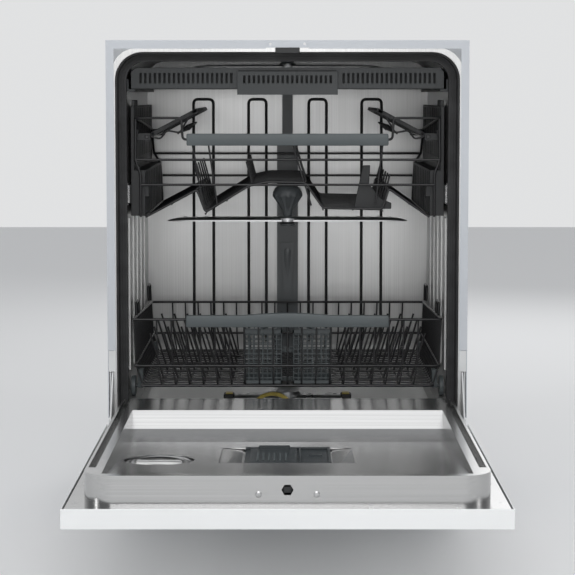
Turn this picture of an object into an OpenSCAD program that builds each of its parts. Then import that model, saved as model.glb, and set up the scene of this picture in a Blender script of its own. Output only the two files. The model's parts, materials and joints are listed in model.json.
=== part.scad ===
// Built-in dishwasher with its door open: cabinet, steel tub, drop-down door, two wire racks,
// a cutlery tray, three spray arms and the water system in the base.
// X runs across, Y runs from the door's tip to the back, Z is up from the floor.
// Inside the modules Y = 0 is the cabinet's front; place() then centres the whole on the origin.

/* [Cabinet] */
// Outer width of the cabinet and the door
cab_w = 596; // [596:1:600]
// Height with the feet screwed in
cab_h = 820; // [820:1:824]
// Depth from the cabinet's front to its back
cab_d = 560; // [556:1:566]
// Sheet thickness of the outer panels
sheet = 1.5; // [1.2:0.1:1.6]

/* [Tub] */
// Half width of the mouth, where the door's inner liner enters
mouth_x = 283; // [282:0.5:284]
// Half width of the cavity behind the seal
cavity_x = 270; // [270:0.5:271]
// Depth of the mouth in front of the seal's step
mouth_d = 52; // [52:1:54]
// Inner face of the back wall
back_y = 520; // [518:1:524]
// Ceiling of the cavity
ceiling_z = 795; // [794:0.5:796]
// Floor of the cavity
floor_z = 172; // [170:1:174]
// Wall thickness
tub_t = 2; // [1.5:0.1:2]

/* [Door] */
// Hinge axis, in front of the cabinet's front
hinge_y = -8; // [-8:1:-8]
// Hinge axis above the floor
hinge_z = 184; // [184:1:184]
// Depth from the front to the door's far edge when open
door_reach = 640; // [636:1:640]
// Thickness of the outer panel with its folded edge
panel_t = 26; // [24:1:26]
// Height of the inner liner's raised field above the panel
liner_h = 41; // [38:1:41]

/* [Racks] */
// Front of the racks behind the cabinet's front
rack_front = 60; // [60:1:64]
// Back of the racks
rack_back = 484; // [470:1:486]
// Wire thickness
wire_d = 4; // [3:0.5:5]
// Outer radius of the lower rack's wheels
wheel_r = 17.5; // [17:0.5:18.5]

/* [Hidden] */
$fn = 48;

// The origin lies midway between the open door's tip and the cabinet's back.
front_y = (door_reach - cab_d) / 2;
half_w = cab_w / 2;
mouth_bottom = 186;
mouth_top = 801;
panel_z = hinge_z - 21;
flange_z = panel_z + panel_t;
liner_z = flange_z + liner_h;
liner_x = 272.5;
liner_front = -620;
liner_back = -14;
arm_y = 276;
seal_step = 39;
wire_sides = 6;
ledge_z = liner_z - 14.3;
axle_z = ledge_z + wheel_r + 0.3;
pin_r = 4;
axle_r = 3;
toe_y = 84;
toe_z = 195;
running_gap = 0.05;
spindle_r = 4;
cap_hinge = [-444, 211];
feed_z = 562;
shelf_hinge = [238, 660];
shelf_tilt = 28;
shelf_rod_r = 3;
lower_arm_z = 186;
filter_at = [-26, 148];
filter_arch_r = 40;
filter_arch_z = 174;
lower_front = rack_front + 2;
lower_low = 239;
basket_z = lower_low + wire_d / 2;
tine_rows = [108, 202, 296, 390];
wheel_y = [100, 440];
groove = [258.5, 268.5];
button_x = [-150, 60, 90, 120];

// ---------------------------------------------------------------- helpers

module place() {
    translate([0, front_y, 0])
        children();
}

// Both sides of the machine
module pair() {
    children();
    mirror([1, 0, 0])
        children();
}

// Extrudes a shape drawn in X and Z along Y from y0 to y1
module along_y(y0, y1) {
    translate([0, y1, 0])
        rotate([90, 0, 0])
            linear_extrude(y1 - y0)
                children();
}

// Extrudes a shape drawn in Y and Z along X from x0 to x1
module along_x(x0, x1) {
    translate([x0, 0, 0])
        rotate([90, 0, 90])
            linear_extrude(x1 - x0)
                children();
}

// A box from its two corners
module block(low, high) {
    translate(low)
        cube(high - low);
}

// A rectangle with round corners, from its two corners
module rounded(low, high, r) {
    translate([low[0] + r, low[1]])
        square([high[0] - low[0] - 2 * r, high[1] - low[1]]);
    translate([low[0], low[1] + r])
        square([high[0] - low[0], high[1] - low[1] - 2 * r]);
    for (x = [low[0] + r, high[0] - r], z = [low[1] + r, high[1] - r])
        translate([x, z])
            circle(r);
}

// One straight wire between two points, with flat sides
module wire(a, b, d = wire_d) {
    v = b - a;
    run = norm(v);
    translate(a)
        rotate([0, acos(v[2] / run), atan2(v[1], v[0])])
            cylinder(d = d, h = run, $fn = wire_sides);
}

// A chain of wires through points; each piece runs on by half a wire so that corners close
module wires(points, d = wire_d) {
    for (i = [0 : len(points) - 2]) {
        step = points[i + 1] - points[i];
        reach = step / norm(step) * d / 3;
        wire(points[i] - reach, points[i + 1] + reach, d);
    }
}

// A closed chain of wires
module wire_loop(points, d = wire_d) {
    wires(concat(points, [points[0]]), d);
}

// ---------------------------------------------------------------- cabinet

module mouth_shape(inset = 0) {
    rounded([-mouth_x + inset, mouth_bottom + inset], [mouth_x - inset, mouth_top - inset], 46 - inset);
    // the lower corners are square, because the door's liner is square there
    translate([-mouth_x + inset, mouth_bottom + inset])
        square([2 * (mouth_x - inset), 80]);
}

module cavity_shape(grow = 0) {
    rounded([-cavity_x - grow, floor_z - grow], [cavity_x + grow, ceiling_z + grow], 36 + grow);
}

// Pressed loops that stiffen the back wall
module back_beads() {
    for (x = [[-181, -143], [-75, -41], [41, 75], [143, 181]])
        along_y(back_y - 3, back_y + 0.5)
            difference() {
                rounded([x[0], 250], [x[1], 722], 8);
                rounded([x[0] + 5, 255], [x[1] - 5, 717], 4);
            }
}

module tub() {
    color("gainsboro") {
        difference() {
            union() {
                along_y(0, sheet) {
                    rounded([-288, mouth_bottom - 2], [288, 807], 40);
                    translate([-288, mouth_bottom - 2])
                        square([576, 80]);
                }
                along_y(0, mouth_d + tub_t)
                    mouth_shape(-tub_t);
                along_y(mouth_d, back_y + tub_t)
                    cavity_shape(tub_t);
            }
            along_y(-1, mouth_d)
                mouth_shape();
            along_y(mouth_d - 1, back_y)
                cavity_shape();
            translate([filter_at[0], filter_at[1], floor_z - 5])
                cylinder(r = 40, h = 10);
            translate([0, arm_y, floor_z - 5])
                cylinder(r = 14, h = 10);
        }
        back_beads();
        pair() {
            // ledge that the lower rack's wheels run on
            block([251, mouth_d, ledge_z - 2], [cavity_x + 0.5, back_y, ledge_z]);
            block([groove[0] + 0.5, 24.2, ledge_z - 2], [groove[1] - 0.8, mouth_d, ledge_z]);
            block([251, mouth_d, floor_z + 18], [253, back_y, ledge_z]);
            block([251, mouth_d, floor_z + 18], [cavity_x + 0.5, back_y, floor_z + 20]);
            // upright ribs pressed into the side wall
            for (y = [90 : 80 : 410])
                block([cavity_x - 2.2, y, 262], [cavity_x + 0.5, y + 14, 522]);
        }
    }
}

module door_seal() {
    color("black")
        difference() {
            union() {
                along_y(seal_step, mouth_d - 0.1)
                    mouth_shape(0.3);
                along_y(6, seal_step + 1)
                    mouth_shape(0.3);
            }
            along_y(seal_step, mouth_d + 1)
                mouth_shape(15);
            along_y(0, seal_step)
                mouth_shape(2.8);
            block([-22, 0, 790], [22, 34, 802]);
        }
}

module side_panel(x_sign) {
    color("lightsteelblue")
        mirror([x_sign < 0 ? 1 : 0, 0, 0]) {
            difference() {
                block([half_w - sheet, 0, 60], [half_w, cab_d - sheet, cab_h]);
                // toe space, which the lower end of the door swings into
                block([half_w - 5, -1, 0], [half_w + 5, toe_y, toe_z]);
            }
            // folded front edge, cut short above the hinge
            block([half_w - 13.2, -sheet, 308], [half_w, 0, cab_h]);
            // folded back edge
            block([half_w - 14, cab_d - 2 * sheet, 60], [half_w - sheet, cab_d - sheet, cab_h - 2]);
        }
}

module side_panel_left() {
    side_panel(-1);
}

module side_panel_right() {
    side_panel(1);
}

// Strip across the top of the front with a gap for the latch, and two worktop fixing tabs
module top_frame() {
    color("lightsteelblue") {
        pair()
            block([35, -sheet, cab_h - 13.7], [half_w - 13.2, 0, cab_h]);
        difference() {
            union() {
                block([-half_w + sheet, 0, cab_h - sheet], [half_w - sheet, 90, cab_h]);
                pair()
                    block([200, 0, cab_h - 2 * sheet], [232, 60, cab_h - sheet + 0.1]);
            }
            pair()
                translate([216, 30, cab_h - 8])
                    cylinder(r = 2.6, h = 10);
        }
        difference() {
            block([-36, 0, 808], [36, sheet, cab_h - sheet]);
            for (x = [-28, 28])
                translate([x, 3, 814])
                    rotate([90, 0, 0])
                        cylinder(r = 2, h = 6);
        }
    }
}

module rear_panel() {
    color("silver")
        difference() {
            block([-half_w, cab_d - sheet, 60], [half_w, cab_d, cab_h]);
            for (x = [-225, -170, 215])
                translate([x, cab_d + 1, 105])
                    rotate([90, 0, 0])
                        cylinder(r = 17, h = 5);
        }
}

// Moulded tray that carries the water system and catches leaks
module base_tray() {
    color("dimgray")
        difference() {
            block([-292, 84, 30], [292, cab_d - 4, 150]);
            block([-289, 87, 33], [289, cab_d - 7, 151]);
            for (x = [-225, -170, 215])
                translate([x, cab_d, 105])
                    rotate([90, 0, 0])
                        cylinder(r = 15, h = 12);
        }
}

// Plinth behind the toe space
module kick_plate() {
    color("lightsteelblue")
        difference() {
            block([-half_w + 2, 82, 8], [half_w - 2, 84, 120]);
            for (x = [-270, 270])
                translate([x, 90, 60])
                    rotate([90, 0, 0])
                        cylinder(r = 2.5, h = 20);
        }
}

module levelling_feet() {
    color("gray")
        for (x = [-262, 262], y = [130, 510])
            translate([x, y, 0]) {
                cylinder(r = 20, h = 8);
                cylinder(r = 13, h = 20, $fn = 6);
                cylinder(r = 5, h = 30);
            }
}

// Keeper in the mouth's ceiling that the door's pawl rises into
module latch_strike() {
    color("black")
        difference() {
            union() {
                block([-20, -sheet, 799], [20, -0.1, 808]);
                block([-20, -0.2, 799], [20, 30, 800.9]);
            }
            block([-7, 13, 798], [7, 25, 802]);
        }
}

// Side plates with the hinge pins and the covers above them
module hinge_brackets() {
    color("whitesmoke")
        pair() {
            block([293, -17, 174], [295.5, 40, 194]);
            block([293, 2, 174], [295.5, 40, 300]);
            block([293, -2.5, 276], [295.5, 3, 300]);
            block([285, -2.5, 273], [half_w - 1.8, -sheet - 0.1, 307.5]);
            block([284.5, -sheet - 0.1, 235], [288, 0, 307.5]);
            translate([286, hinge_y, hinge_z])
                rotate([0, 90, 0])
                    cylinder(r = pin_r, h = 8);
        }
}

// Fixed outer channels of the upper rack's rails
module rack_rails() {
    color("silver")
        pair()
            block([268.2, 62, 546], [cavity_x, 500, 582]);
}

// Ledges that the cutlery tray slides on
module tray_rails() {
    color("dimgray")
        pair() {
            block([256, 64, 736], [cavity_x, 500, 740.6]);
            block([266, 64, 740], [cavity_x, 500, 757]);
        }
}

// Water channel up the back wall, wide below and narrow above
module feed_duct() {
    color("slategray") {
        block([-20, back_y - 14, floor_z + 2], [20, back_y, 640]);
        block([-10, back_y - 12, 639], [10, back_y, ceiling_z]);
        block([-10, arm_y, ceiling_z - 5], [10, back_y, ceiling_z]);
        along_y(back_y - 20, back_y - 13)
            polygon([[-13, 447], [13, 447], [6, 310], [-6, 310]]);
        translate([0, arm_y, ceiling_z - 7])
            cylinder(r = 12, h = 7);
        translate([0, arm_y, 780.5])
            cylinder(r = spindle_r, h = 10);
        // socket that the upper rack's feed pipe docks into
        translate([0, back_y - 13, feed_z])
            rotate([90, 0, 0])
                difference() {
                    cylinder(r = 17, h = 16);
                    translate([0, 0, 4])
                        cylinder(r = 12, h = 20);
                }
    }
}

// ---------------------------------------------------------------- water system

module sump() {
    color("dimgray") {
        difference() {
            translate([filter_at[0], filter_at[1], 92])
                cylinder(r = 58, h = floor_z - tub_t - 92);
            translate([filter_at[0], filter_at[1], 98])
                cylinder(r = 38.5, h = 90);
        }
        translate([0, arm_y, 120])
            cylinder(r = 12, h = lower_arm_z + 3 - 120);
        block([-12, 198, 120], [12, arm_y - 8, 150]);
        translate([10, 180, 112])
            rotate([0, 90, 0])
                cylinder(r = 14, h = 30);
    }
}

module filter_plate() {
    color("silver")
        difference() {
            block([-110, 96, floor_z], [110, 330, floor_z + 2]);
            translate([filter_at[0], filter_at[1], floor_z - 1])
                cylinder(r = 39, h = 6);
            translate([0, arm_y, floor_z - 1])
                cylinder(r = 14, h = 6);
        }
}

// Filter cup with a rim that rests on the plate and an arched grip
module coarse_filter() {
    color("khaki")
        translate([filter_at[0], filter_at[1], 0]) {
            difference() {
                union() {
                    translate([0, 0, 104])
                        cylinder(r = 37, h = 72);
                    translate([0, 0, floor_z + 2])
                        cylinder(r = 42, h = 2.5);
                }
                translate([0, 0, 107])
                    cylinder(r = 34.5, h = 80);
            }
            block([-36, -4, 171], [36, 4, 176.5]);
            translate([0, 4, filter_arch_z])
                rotate([90, 0, 0])
                    difference() {
                        cylinder(r = filter_arch_r, h = 8);
                        translate([0, 0, -1])
                            cylinder(r = filter_arch_r - 6, h = 10);
                        translate([-60, -100, -1])
                            cube([120, 100, 10]);
                    }
        }
}

module circulation_pump() {
    color("gray") {
        translate([90, 180, 100])
            rotate([0, 90, 0])
                cylinder(r = 46, h = 120);
        translate([40, 180, 112])
            rotate([0, 90, 0])
                cylinder(r = 16, h = 52);
        block([84, 140, 33], [215, 220, 60]);
    }
}

module drain_pump() {
    color("slategray") {
        translate([-170, 180, 78])
            rotate([0, 90, 0])
                cylinder(r = 28, h = 84);
        block([-180, 150, 33], [-100, 210, 56]);
    }
}

module threaded_nozzle(r, reach) {
    rotate([-90, 0, 0])
        cylinder(r = r, h = reach);
}

// Water inlet with its three-quarter inch hose thread
module inlet_valve() {
    color("white") {
        block([-250, 480, 80], [-200, 535, 130]);
        translate([-225, 534, 105])
            threaded_nozzle(13.2, 26);
    }
}

module drain_outlet() {
    color("dimgray") {
        block([-188, 500, 88], [-152, 536, 122]);
        translate([-170, 535, 105])
            threaded_nozzle(10, 25);
    }
}

module mains_inlet() {
    color("black") {
        block([198, 500, 90], [232, 540, 120]);
        translate([215, 539, 105])
            threaded_nozzle(13, 20);
    }
}

// Door balance springs, which hook into the hinge arms and run down the cabinet's sides
module door_springs() {
    color("silver")
        pair()
            translate([290, 0, 0]) {
                wire([0, 17, 257], [0, 380, 170], 5);
                wire([2.1, 4, 262], [2.1, 18, 257.5], 1.6);
                wire([-3, 4, 262], [2.8, 4, 262], 1.6);
            }
}

// ---------------------------------------------------------------- door

// The raised field of the liner, with round far corners
module liner_field(inset, z0, z1) {
    r = 40 - inset;
    x = liner_x - inset;
    translate([0, 0, z0])
        linear_extrude(z1 - z0) {
            translate([-x, liner_front + inset + r])
                square([2 * x, liner_back - liner_front - 2 * inset - r]);
            translate([-x + r, liner_front + inset])
                square([2 * x - 2 * r, r + 1]);
            for (side = [-1, 1])
                translate([side * (x - r), liner_front + inset + r])
                    circle(r);
        }
}

// The dished part of the liner, grown by a sheet's thickness for its underside
module dish(grow) {
    along_x(-247 - grow, 247 + grow)
        polygon([
            [-125 + grow, liner_z + 1],
            [-125 + grow, liner_z],
            [-141 + grow, 203 - grow],
            [-250, 203 - grow],
            [-598 - grow, 224 - grow],
            [-606 - grow, liner_z],
            [-606 - grow, liner_z + 1]
        ]);
    block([-97 - grow, -472 - grow, 203 - grow], [95 + grow, -318, 240]);
}

module grooves(grow) {
    pair()
        block([groove[0] - grow, -566 - grow, ledge_z - grow], [groove[1] + grow, liner_back + 5, 240]);
}

module door_liner() {
    color("silver")
        difference() {
            union() {
                liner_field(0, flange_z - sheet, liner_z);
                block([-294, -637, flange_z - sheet], [294, -90, flange_z]);
                block([-284, -91, flange_z - sheet], [284, liner_back, flange_z]);
            }
            dish(0);
            grooves(0);
            difference() {
                liner_field(sheet, flange_z - 5, liner_z - sheet);
                dish(sheet);
                grooves(sheet);
            }
            translate([-182, -440, 190])
                cylinder(r = 50, h = 40);
            block([-62, -452, 190], [63, -336, 215]);
            translate([0, liner_front + 5, 211])
                rotate([90, 0, 0])
                    cylinder(r = 8, h = 10, $fn = 6);
            for (x = [-38.5, 38.5])
                translate([x, liner_front + 5, 205])
                    rotate([90, 0, 0])
                        cylinder(r = 2.1, h = 10);
        }
}

// Folded outer panel with openings for the controls and the grip
module door_panel() {
    color("white")
        difference() {
            union() {
                block([-half_w, -door_reach, panel_z], [half_w, 66, panel_z + sheet]);
                block([-half_w, -door_reach, panel_z], [half_w, -door_reach + sheet, flange_z + 1]);
                pair() {
                    block([half_w - sheet, -door_reach, panel_z], [half_w, -30, flange_z + 1]);
                    block([half_w - sheet, -31, panel_z], [half_w, 66, panel_z + 5]);
                }
                block([-half_w, 66 - sheet, panel_z], [half_w, 66, panel_z + 5]);
            }
            block([-200, -630, panel_z - 1], [200, -600, panel_z + 3]);
            block([-80, -590, panel_z - 1], [80, -552, panel_z + 3]);
        }
}

// Control strip behind the panel's slot, with the pocket grip below it
module control_fascia() {
    color("dimgray")
        difference() {
            union() {
                block([-199.8, -629.8, panel_z], [199.8, -600.2, panel_z + 3]);
                block([-206, -634, panel_z + sheet + 0.1], [206, -596, panel_z + 4]);
                block([-84, -597, panel_z + sheet + 0.1], [84, -548, panel_z + 22]);
            }
            block([-79, -589, panel_z - 1], [79, -553, panel_z + 20]);
            for (x = button_x)
                translate([x, -615, panel_z - 1])
                    cylinder(r = 6.3, h = 8);
        }
}

module control_button(x) {
    color("silver")
        translate([x, -615, panel_z - 1.6]) {
            cylinder(r = 6, h = 6);
            translate([0, 0, 5.9])
                cylinder(r = 3, h = 3);
        }
}

module power_button() {
    control_button(button_x[0]);
}

module program_button_1() {
    control_button(button_x[1]);
}

module program_button_2() {
    control_button(button_x[2]);
}

module program_button_3() {
    control_button(button_x[3]);
}

// Arms that swing with the door on the hinge pins and pull the balance springs
module hinge_arms() {
    color("whitesmoke")
        pair()
            difference() {
                along_x(288.5, 291)
                    polygon([
                        [-78, panel_z + sheet], [-78, 187], [-50, 200], [-5, 272],
                        [12, 272], [8, 250], [3, 176], [-10, 170], [-30, panel_z + sheet]
                    ]);
                translate([280, hinge_y, hinge_z])
                    rotate([0, 90, 0])
                        cylinder(r = pin_r + running_gap, h = 20);
                translate([280, 4, 262])
                    rotate([0, 90, 0])
                        cylinder(r = 3, h = 20);
            }
}

module dispenser_body() {
    color("darkslategray")
        difference() {
            union() {
                block([-61.5, -451.5, 176], [62.5, -336.5, 209]);
                for (x = [20.5, 55.3])
                    block([x, cap_hinge[0] - 3, 208], [x + 3.2, cap_hinge[0] + 3, 213.5]);
            }
            translate([15, cap_hinge[0], cap_hinge[1]])
                rotate([0, 90, 0])
                    cylinder(r = 1.5 + running_gap, h = 50);
            // detergent cup and rinse-aid filler
            block([-48, -440, 182], [8, -350, 210]);
            translate([40, -420, 184])
                cylinder(r = 11, h = 30);
        }
}

module detergent_lid() {
    color("darkslategray") {
        block([-54, -446, 209.3], [14, -344, 212.3]);
        block([-42, -352, 212.2], [4, -346, 217]);
    }
}

module rinse_cap() {
    color("darkslategray") {
        block([24, cap_hinge[0] + 2, 209.3], [55, -398, 212]);
        block([24, cap_hinge[0], 210], [55, cap_hinge[0] + 3, 212]);
        block([30, -405, 211.9], [50, -400, 215]);
        translate([20, cap_hinge[0], cap_hinge[1]])
            rotate([0, 90, 0])
                cylinder(r = 1.5, h = 39);
    }
}

module salt_container() {
    color("gray")
        difference() {
            translate([-182, -440, 166])
                cylinder(r = 62, h = 20);
            translate([-182, -440, 168])
                cylinder(r = 59, h = 16);
            translate([-182, -440, 180])
                cylinder(r = 40, h = 12);
        }
}

// Round screw cap in the liner with a grip bar across it
module salt_cap() {
    color("silver")
        translate([-182, -440, 0])
            difference() {
                union() {
                    translate([0, 0, 206])
                        cylinder(r = 49.5, h = 9);
                    translate([0, 0, 186.2])
                        cylinder(r = 38, h = 20);
                }
                translate([0, 0, 212.5])
                    difference() {
                        cylinder(r = 44, h = 5);
                        translate([-44, -6, -1])
                            cube([88, 12, 8]);
                    }
            }
}

module latch_body() {
    color("dimgray")
        difference() {
            block([-45, -617, 196], [45, -590, 220]);
            block([-12, -618, 200], [12, -591, 218]);
        }
}

module latch_pawl() {
    color("black")
        block([-5, -617.8, 207], [5, -600, 215]);
}

module liner_screws() {
    color("silver")
        for (x = [-38.5, 38.5])
            translate([x, liner_front + 1, 205])
                rotate([90, 0, 0]) {
                    cylinder(r = 2, h = 1.5);
                    translate([0, 0, 1])
                        cylinder(r = 4.5, h = 2.2);
                }
}

// ---------------------------------------------------------------- upper rack

// Height of the rack's bottom across its width: a valley on the left and a flat trough on the right
upper_floor = [
    [-238, 536], [-152, 572], [-138, 534], [-66, 576], [-34, 582],
    [34, 582], [60, 541], [160, 541], [168, 572], [238, 536]
];

function at_depth(profile, y) = [for (p = profile) [p[0], y, p[1]]];

module upper_rack() {
    color("black") {
        for (y = [rack_front + 2, 200, 340, rack_back - 2])
            wires(at_depth(upper_floor, y));
        for (p = upper_floor)
            wire([p[0], rack_front, p[1]], [p[0], rack_back, p[1]]);
        for (p = [[-195, 554], [-102, 555], [0, 582], [110, 541], [203, 554]])
            wire([p[0], rack_front, p[1]], [p[0], rack_back, p[1]]);
        // front: low wire and the raised ends of the rim that dip to the handle
        wire([-238, rack_front + 2, 581], [238, rack_front + 2, 581]);
        pair() {
            wires([
                [254, rack_back - 2, 619], [254, rack_front + 4, 690], [181, rack_front + 2, 690],
                [176, rack_front + 2, 656], [150, rack_front + 2, 656]
            ]);
            wires([[254, rack_front + 4, 690], [250, rack_front + 4, 632], [241, rack_front + 4, 610],
                [238, rack_front + 2, 536]]);
            wires([[254, rack_back - 2, 619], [241, rack_back - 2, 610], [238, rack_back - 2, 536]]);
            wire([241, rack_front + 4, 610], [241, rack_back - 2, 610]);
        }
        // two rear cross wires and one lower one
        wire([-254, rack_back - 2, 619], [254, rack_back - 2, 619]);
        wire([-244, rack_back - 2, 606], [244, rack_back - 2, 606]);
        wire([-238, rack_back - 2, 577], [238, rack_back - 2, 577]);
        // upright wires between the handle and the floor
        for (x = [-160, 160])
            wires([[x, rack_front + 2, 650], [x * 0.9, rack_front + 2, 545]]);
        // leaning tines along the left valley and the middle
        for (y = [110 : 60 : 440]) {
            wires([[-138, y, 534], [-160, y, 610]]);
            wires([[34, y, 582], [22, y, 640]]);
        }
    }
}

module handle_bar(z, half) {
    along_y(rack_front - 10, rack_front - 0.4)
        rounded([-half, z], [half, z + 20], 4);
    for (x = [-half + 20, -60, 60, half - 20])
        block([x - 6, rack_front - 1, z + 4], [x + 6, rack_front + 0.1, z + 16]);
}

module upper_handle() {
    color("slategray")
        handle_bar(646, 169);
}

// Side frames with the height lock, reaching from the rim to the rail
module adjusters() {
    color("black")
        pair() {
            block([258, 72, 620], [264, 470, 712]);
            block([240, 72, 527], [264, 470, 604]);
            for (y = [84, 452])
                difference() {
                    block([shelf_hinge[0] - 6, y, shelf_hinge[1] - 6], [259, y + 6, shelf_hinge[1] + 6]);
                    translate([shelf_hinge[0], y - 1, shelf_hinge[1]])
                        rotate([-90, 0, 0])
                            cylinder(r = shelf_rod_r + running_gap, h = 8);
                }
            block([258, 72, 603], [264, 470, 621]);
            block([264, 66, 548], [265.8, 498, 580]);
            for (y = [80 : 12 : 150])
                block([258, y, 711], [263, y + 5, 722]);
        }
}

// Middle members of the telescopic rails
module rail_slides() {
    color("silver")
        pair()
            block([266.2, 64, 549], [267.7, 500, 579]);
}

// Pipe from the back socket to the spray arm's bearing under the rack
module arm_feed() {
    color("dimgray") {
        translate([0, back_y - 18, feed_z])
            rotate([90, 0, 0])
                cylinder(r = 9, h = back_y - 18 - arm_y);
        translate([0, arm_y, 514])
            cylinder(r1 = 10, r2 = 24, h = 34);
        translate([0, arm_y, 547.5])
            cylinder(r = 25, h = 20);
        translate([0, arm_y, 497])
            cylinder(r = spindle_r, h = 18);
        translate([0, arm_y, 496])
            cylinder(r = 14, h = 3);
    }
}

module arm_blade(half, width, thick) {
    pair()
        translate([0, 0, -thick / 2])
            linear_extrude(thick)
                polygon([
                    [0, -width / 2], [half * 0.6, -width / 2], [half, -width / 5],
                    [half, width / 5], [half * 0.6, width / 2], [0, width / 2]
                ]);
}

module upper_spray_arm() {
    color("silver")
        translate([0, arm_y, 508])
            difference() {
                union() {
                    arm_blade(216, 34, 8);
                    translate([0, 0, -6])
                        cylinder(r = 20, h = 11);
                }
                translate([0, 0, -10])
                    cylinder(r = spindle_r + running_gap, h = 20);
            }
}

// Fold-up shelf for cups, hinged at the side frame
module cup_shelf(x_sign) {
    color("black")
        mirror([x_sign < 0 ? 0 : 1, 0, 0])
            translate([-shelf_hinge[0], 0, shelf_hinge[1]])
                rotate([0, -shelf_tilt, 0]) {
                    difference() {
                        block([6, 94, -2], [96, 448, 2]);
                        for (y = [102 : 43 : 404], x = [14, 56])
                            block([x, y, -3], [x + 32, y + 34, 3]);
                    }
                    translate([0, 85, 0])
                        rotate([-90, 0, 0])
                            cylinder(r = shelf_rod_r, h = 372);
                    for (y = [94, 265, 440])
                        block([0, y, -2], [7, y + 8, 2]);
                }
}

module cup_shelf_left() {
    cup_shelf(-1);
}

module cup_shelf_right() {
    cup_shelf(1);
}

// ---------------------------------------------------------------- cutlery tray

module cutlery_tray() {
    color("darkslategray")
        difference() {
            union() {
                block([-262, 62, 741], [262, 488, 776]);
                block([-84, 52, 731], [84, 90, 770]);
            }
            block([-260, 92, 743], [-86, 486, 777]);
            block([86, 92, 743], [260, 486, 777]);
            block([-84, 92, 743], [84, 486, 777]);
            block([-260, 64, 743], [-86, 90, 777]);
            block([86, 64, 743], [260, 90, 777]);
            block([-82, 54, 734], [82, 88, 771]);
            // bevelled upper edges, which pass under the seal's round corners
            pair()
                along_y(60, 490)
                    polygon([[263, 768], [263, 777], [254, 777]]);
            // slots through the front and the floor
            for (x = [-248 : 8 : -96])
                block([x, 60, 750], [x + 4, 66, 767]);
            for (x = [92 : 8 : 244])
                block([x, 60, 750], [x + 4, 66, 767]);
            for (x = [-74 : 8 : 70])
                block([x, 50, 750], [x + 4, 56, 763]);
            for (x = [-250, -165, 95, 180], y = [100 : 48 : 440])
                block([x, y, 740], [x + 70, y + 36, 744]);
            for (x = [-72, 8], y = [100 : 48 : 440])
                block([x, y, 740], [x + 64, y + 36, 744]);
        }
}

// ---------------------------------------------------------------- spray arms

module top_spray_arm() {
    color("silver")
        translate([0, arm_y, 782])
            difference() {
                union() {
                    arm_blade(168, 24, 5);
                    cylinder(r = 15, h = 5.5);
                }
                translate([0, 0, -5])
                    cylinder(r = spindle_r + running_gap, h = 20);
            }
}

module lower_spray_arm() {
    color("silver")
        translate([0, arm_y, lower_arm_z])
            difference() {
                union() {
                    arm_blade(116, 40, 8);
                    pair()
                        block([98, -14, -4], [116, 14, 5]);
                    translate([0, 0, -4.4])
                        cylinder(r = 24, h = 14);
                }
                translate([0, 0, -10])
                    cylinder(r = 12 + running_gap, h = 14);
            }
}

// ---------------------------------------------------------------- lower rack

// Middle of a wire's flat side, from its axis
flat_r = wire_d * cos(180 / wire_sides) / 2;

// Flat floor grid inside its frame
module lower_rack_floor() {
    color("black") {
        wire_loop([[-247, lower_front, lower_low], [247, lower_front, lower_low],
            [247, rack_back, lower_low], [-247, rack_back, lower_low]]);
        for (y = [lower_front + 41 : 41 : rack_back - 20])
            wire([-247, y, lower_low], [247, y, lower_low]);
        for (x = [-209 : 38 : 209])
            wire([x, lower_front, lower_low], [x, rack_back, lower_low]);
    }
}

// Height of the side walls' rim, which drops towards the back
function rim_z(y) = 352 - 18 * (y - lower_front) / (rack_back - lower_front);

module lower_rack_ends() {
    color("black")
        for (y = [lower_front, rack_back]) {
            wire([-258 - flat_r, y, 273], [258 + flat_r, y, 273]);
            wire([-261 - flat_r, y, rim_z(y)], [261 + flat_r, y, rim_z(y)]);
            for (x = [-213 : 47.3 : 214])
                wire([x, y, lower_low + wire_d / 2], [x, y, rim_z(y)]);
        }
}

module lower_rack_sides() {
    near = lower_front + flat_r;
    far = rack_back - flat_r;
    color("black")
        pair() {
            wire([258, near, 273], [258, far, 273]);
            wire([261, near, rim_z(near)], [261, far, rim_z(far)]);
            for (y = [lower_front + 18 : 64 : rack_back - 20])
                wires([[248.2, y, lower_low + wire_d], [258, y, 273], [261, y, rim_z(y)]]);
        }
}

// Combs of plate tines that lean outwards, each on a wire laid across the floor grid
module lower_rack_tines() {
    color("black")
        pair()
            for (y = tine_rows) {
                wire([88, y, lower_low + wire_d], [214, y, lower_low + wire_d]);
                for (x = [92 : 24 : 212])
                    wire([x, y, lower_low + wire_d], [x + 24, y, 322]);
            }
}

// Blocks on the floor frame's sides with the wheels' axles
module wheel_brackets() {
    color("dimgray")
        pair()
            for (y = wheel_y) {
                block([247 + flat_r, y - 8, axle_z - 2.9], [255, y + 8, lower_low + 8]);
                translate([248, y, axle_z])
                    rotate([0, 90, 0])
                        cylinder(r = axle_r, h = 19.5);
            }
}

module lower_handle() {
    color("slategray") {
        handle_bar(340, 171);
        along_y(rack_front - 10, rack_front - 0.4)
            polygon([[-90, 359], [-50, 364], [50, 364], [90, 359]]);
    }
}

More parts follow.
